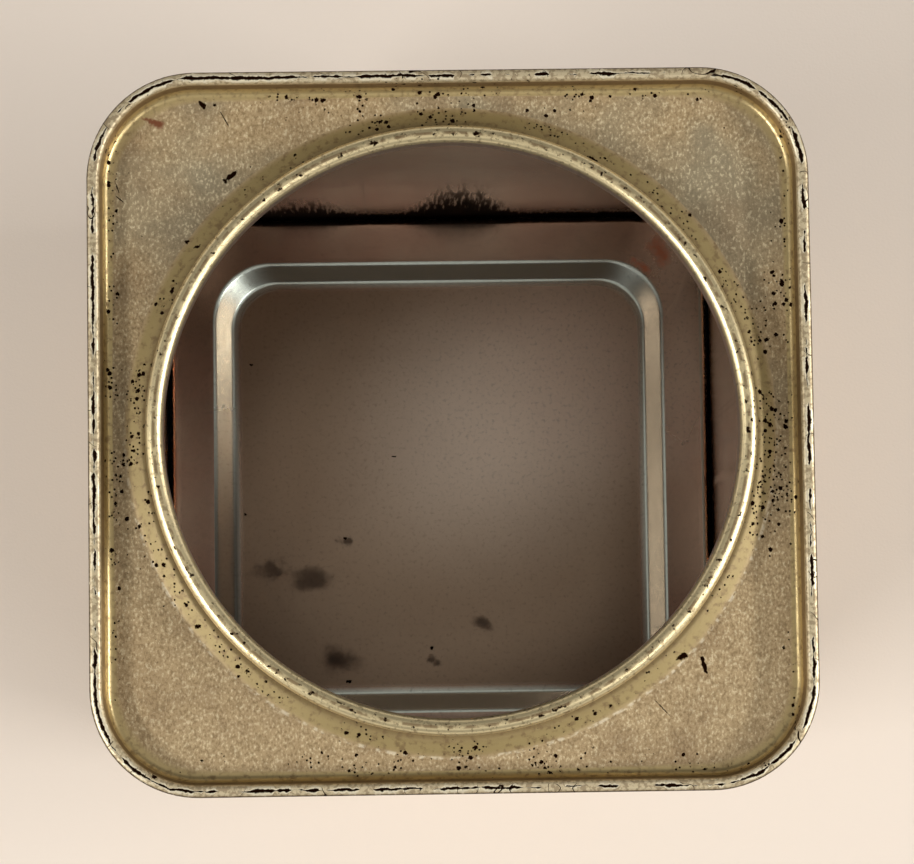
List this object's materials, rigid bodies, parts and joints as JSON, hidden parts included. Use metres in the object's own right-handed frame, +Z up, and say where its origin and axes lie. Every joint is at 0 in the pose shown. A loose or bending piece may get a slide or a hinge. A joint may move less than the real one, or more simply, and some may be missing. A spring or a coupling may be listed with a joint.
{
  "type": "open square tea tin",
  "caption": "Square tinplate tea tin with rounded corners, double seamed ends, a sunken top panel round an open round neck with a curled lip, and a stepped floor.",
  "frame": {"origin": "middle of the square that the tin stands on, on the standing edge of the base seam", "axes": "+Z up out of the round mouth; +X square to the wall with the side weld; +Y square to the next wall"},
  "size_m": [0.076, 0.076, 0.1062],
  "materials": {
    "body_tinplate": "thin gold lacquer over tinplate outside, dull grey brown tinplate inside",
    "top_lacquer": "worn gold lacquer over tinplate, bare and blackened along the seam",
    "base_tinplate": "dull grey brown tinplate with dark spots"
  },
  "bodies": {
    "root": {"body": "body_tinplate", "top_end": "top_lacquer", "base_end": "base_tinplate"}
  },
  "joints": []
}
